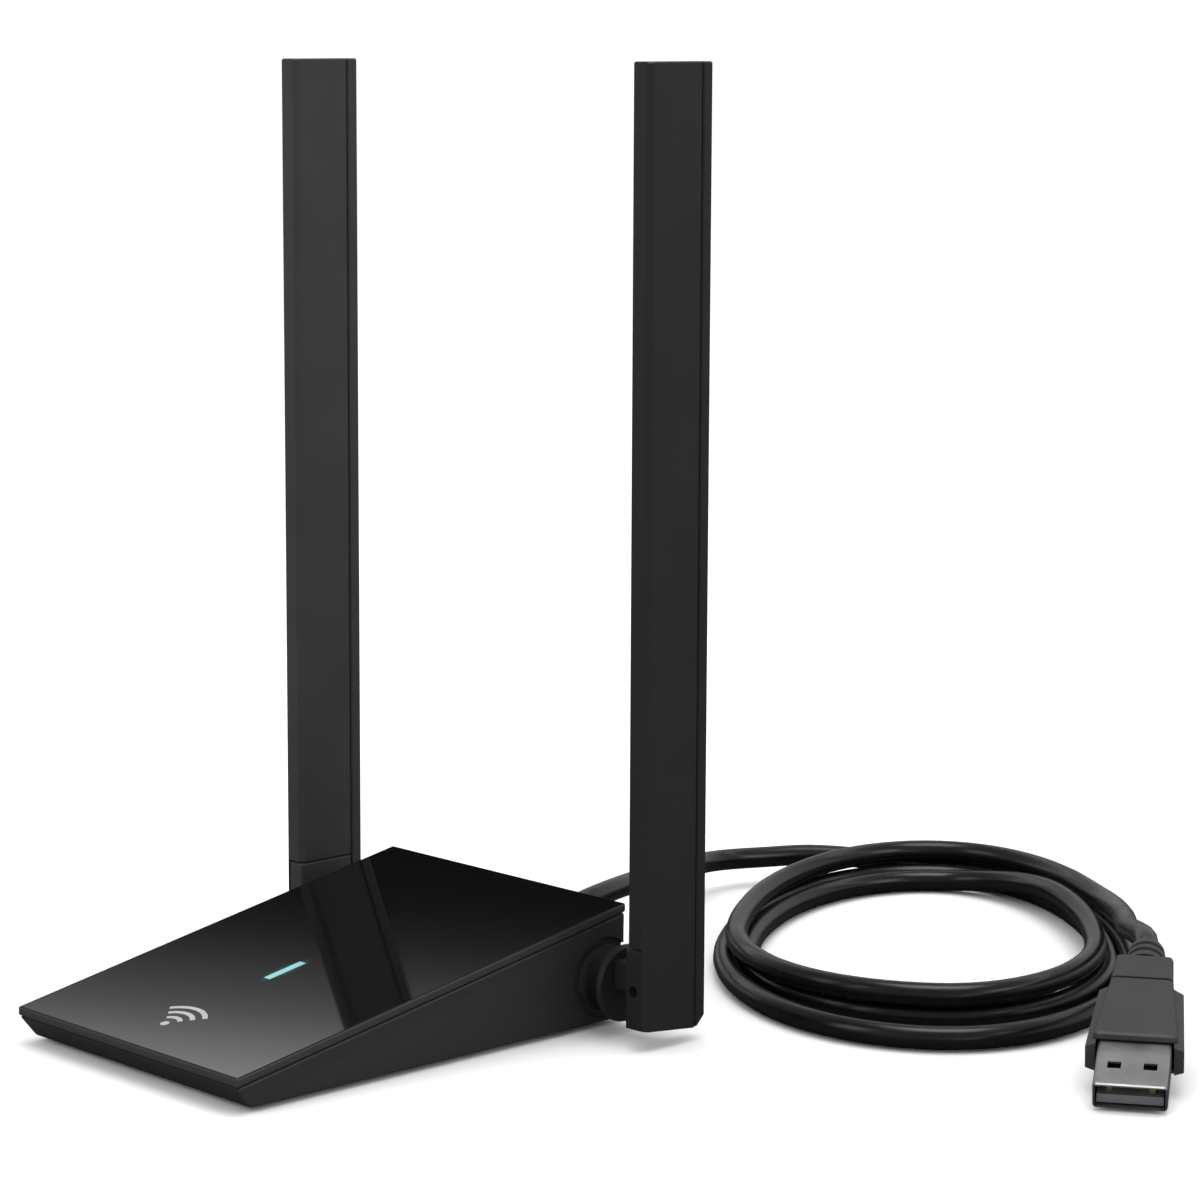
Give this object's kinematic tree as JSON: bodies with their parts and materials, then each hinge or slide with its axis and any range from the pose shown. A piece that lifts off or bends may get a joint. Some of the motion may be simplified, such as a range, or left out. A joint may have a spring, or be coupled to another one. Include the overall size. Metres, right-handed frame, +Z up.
{
  "type": "usb wifi adapter",
  "caption": "Desktop wireless network adapter: a wedge base with swivelling and tilting blade antennas, a status light and a coiled cord that ends in a type A plug.",
  "frame": {"origin": "on the resting plane, under the middle of the box round the base and the antennas; the cord and its plug are left out", "axes": "+Z up along the raised antennas, -Y towards the low front edge, +X to the right seen from the front; the cord lies behind and to the right"},
  "size_m": [0.1779, 0.216, 0.1667],
  "materials": {
    "gloss_cover": "gloss",
    "matte_black": "satin",
    "antenna_black": "satin",
    "rubber_black": "matte",
    "cord_black": "semi-gloss",
    "screw_steel": "satin",
    "shell_steel": "satin",
    "gold_plate": "polished",
    "board_green": "gloss",
    "chip_black": "matte",
    "header_ivory": "matte",
    "tongue_grey": "matte",
    "light_teal": "frosted"
  },
  "bodies": {
    "base": {"top_cover": "gloss_cover", "lower_housing": "matte_black", "plug_body": "matte_black", "foot_1": "rubber_black", "foot_2": "rubber_black", "foot_3": "rubber_black", "foot_4": "rubber_black", "cable_grommet": "rubber_black", "plug_strain_relief": "rubber_black", "coax_left": "rubber_black", "coax_right": "rubber_black", "cord_lead": "cord_black", "cord_coil": "cord_black", "cord_tail": "cord_black", "case_screw_1": "screw_steel", "case_screw_2": "screw_steel", "case_screw_3": "screw_steel", "case_screw_4": "screw_steel", "shield_can": "screw_steel", "clock_crystal": "screw_steel", "plug_shell": "shell_steel", "rf_connector_left": "gold_plate", "rf_connector_right": "gold_plate", "plug_contact_1": "gold_plate", "plug_contact_2": "gold_plate", "plug_contact_3": "gold_plate", "plug_contact_4": "gold_plate", "circuit_board": "board_green", "wifi_chip": "chip_black", "cord_header": "header_ivory", "plug_tongue": "tongue_grey", "light_pipe": "light_teal", "led_emitter": "light_teal"},
    "left_knuckle": {"hinge_knuckle_left": "matte_black", "retainer_ring_left": "screw_steel", "friction_washer_left": "screw_steel"},
    "left_antenna": {"tilt_pin_left": "screw_steel", "hinge_fork_left": "matte_black", "antenna_shell_left": "antenna_black", "antenna_back_left": "antenna_black", "antenna_element_left": "gold_plate"},
    "right_knuckle": {"hinge_knuckle_right": "matte_black", "retainer_ring_right": "screw_steel", "friction_washer_right": "screw_steel"},
    "right_antenna": {"tilt_pin_right": "screw_steel", "hinge_fork_right": "matte_black", "antenna_shell_right": "antenna_black", "antenna_back_right": "antenna_black", "antenna_element_right": "gold_plate"}
  },
  "joints": [
    {"name": "left_swivel", "type": "hinge", "parent": "base", "child": "left_knuckle", "pos_m": [-0.0348, 0.0366, 0.00875], "axis": [1, 0, 0], "range_deg": [-60, 90]},
    {"name": "left_tilt", "type": "hinge", "parent": "left_knuckle", "child": "left_antenna", "pos_m": [-0.045, 0.0366, 0.0102], "axis": [0, -1, 0], "range_deg": [0, 90]},
    {"name": "right_swivel", "type": "hinge", "parent": "base", "child": "right_knuckle", "pos_m": [0.0348, 0.0366, 0.00875], "axis": [1, 0, 0], "range_deg": [-60, 90]},
    {"name": "right_tilt", "type": "hinge", "parent": "right_knuckle", "child": "right_antenna", "pos_m": [0.045, 0.0366, 0.0102], "axis": [0, 1, 0], "range_deg": [0, 90]}
  ]
}
